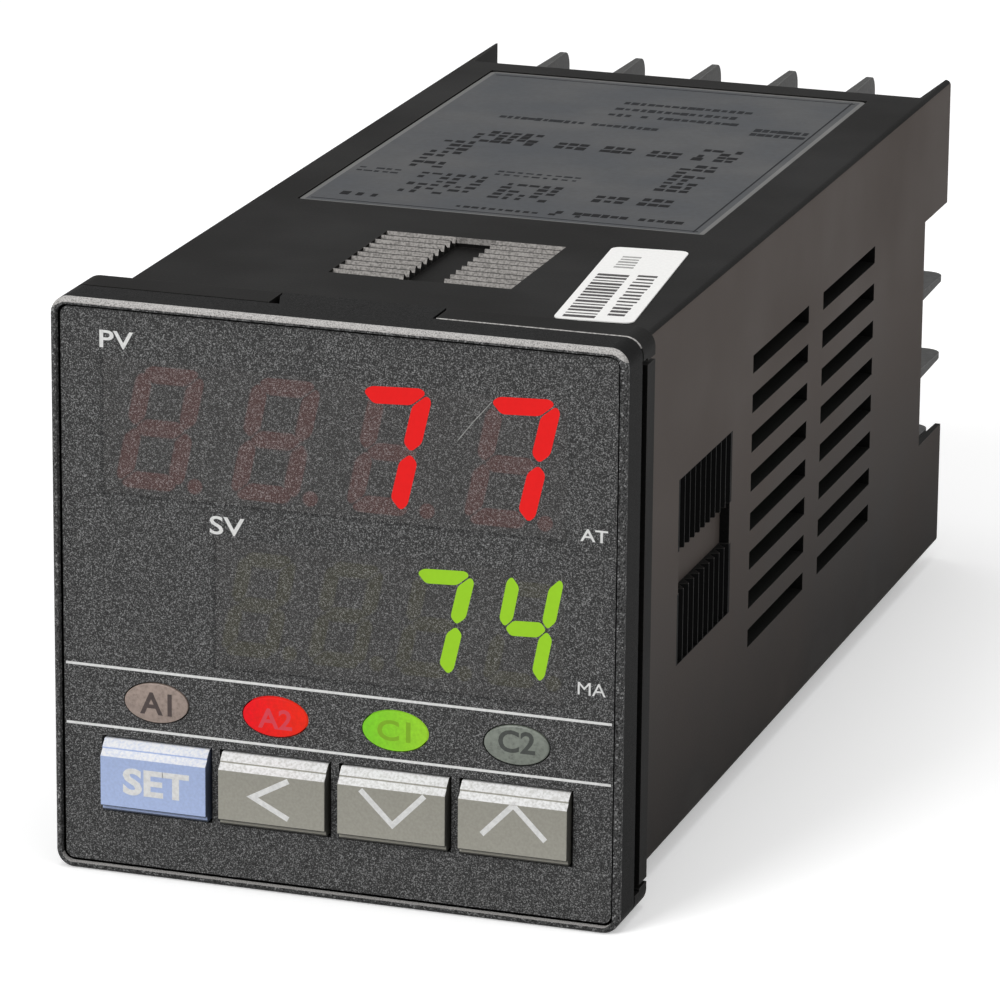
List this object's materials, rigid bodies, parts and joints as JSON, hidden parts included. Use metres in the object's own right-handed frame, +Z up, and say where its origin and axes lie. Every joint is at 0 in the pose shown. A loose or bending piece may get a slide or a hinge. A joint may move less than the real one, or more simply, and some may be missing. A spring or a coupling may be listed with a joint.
{
  "type": "panel temperature controller",
  "caption": "Square panel-mounted temperature controller with two number displays, sealed front keys, a long ribbed case and a fenced screw-terminal block behind.",
  "frame": {"origin": "centre of the outer box in x and y, lowest point in z", "axes": "+X to the right as the front is read, +Y from the front back through the body, +Z up"},
  "size_m": [0.048, 0.107, 0.048],
  "materials": {
    "speckled_black_plastic": "fine light speckle",
    "case_plastic": "fine moulded grain",
    "smoked_front_sheet": "speckled, smoked over the displays",
    "black_plastic": "plain moulded",
    "clear_plastic": "clear",
    "display_face": "plain",
    "red_light": "lit",
    "dark_red_bars": "unlit",
    "green_light": "lit",
    "dark_green_bars": "unlit",
    "circuit_board": "solder mask",
    "core_steel": "stacked sheets",
    "coil_tape": "wrapped tape",
    "capacitor_sleeve": "shrunk sleeve",
    "varistor_coat": "dipped coat",
    "grey_label": "printed film",
    "white_paper": "printed paper",
    "plated_brass": "tin plated",
    "plated_steel": "zinc plated",
    "dull_red_lens": "unlit",
    "lit_red_lens": "lit",
    "lit_green_lens": "lit",
    "dull_green_lens": "unlit",
    "blue_key": "soft satin",
    "grey_key": "soft satin"
  },
  "bodies": {
    "controller": {"bezel_frame": "speckled_black_plastic", "front_sheet": "smoked_front_sheet", "key_switches": "black_plastic", "alarm_1_lens": "dull_red_lens", "alarm_2_lens": "lit_red_lens", "control_1_lens": "lit_green_lens", "control_2_lens": "dull_green_lens", "indicator_leds": "clear_plastic", "pv_display": "display_face", "pv_lit_bars": "red_light", "pv_dark_bars": "dark_red_bars", "sv_display": "display_face", "sv_lit_bars": "green_light", "sv_dark_bars": "dark_green_bars", "display_board": "circuit_board", "control_board": "circuit_board", "power_board": "circuit_board", "board_headers": "black_plastic", "transformer_core": "core_steel", "transformer_coil": "coil_tape", "output_relays": "black_plastic", "capacitors": "capacitor_sleeve", "microcontroller": "black_plastic", "optocouplers": "black_plastic", "varistor": "varistor_coat", "case": "case_plastic", "wiring_label": "grey_label", "white_sticker": "white_paper", "terminal_block": "black_plastic", "terminal_plates": "plated_brass", "terminal_screws": "plated_steel"},
    "set_button": {"set_key": "blue_key", "set_plunger": "black_plastic"},
    "shift_button": {"shift_key": "grey_key", "shift_plunger": "black_plastic"},
    "down_button": {"down_key": "grey_key", "down_plunger": "black_plastic"},
    "up_button": {"up_key": "grey_key", "up_plunger": "black_plastic"}
  },
  "joints": [
    {"name": "set_press", "type": "slide", "parent": "controller", "child": "set_button", "axis": [0, 1, 0], "range_m": [0, 0.0005], "stiffness_N_per_m": 2400, "springref_m": -0.0002},
    {"name": "shift_press", "type": "slide", "parent": "controller", "child": "shift_button", "axis": [0, 1, 0], "range_m": [0, 0.0005], "stiffness_N_per_m": 2400, "springref_m": -0.0002},
    {"name": "down_press", "type": "slide", "parent": "controller", "child": "down_button", "axis": [0, 1, 0], "range_m": [0, 0.0005], "stiffness_N_per_m": 2400, "springref_m": -0.0002},
    {"name": "up_press", "type": "slide", "parent": "controller", "child": "up_button", "axis": [0, 1, 0], "range_m": [0, 0.0005], "stiffness_N_per_m": 2400, "springref_m": -0.0002}
  ]
}
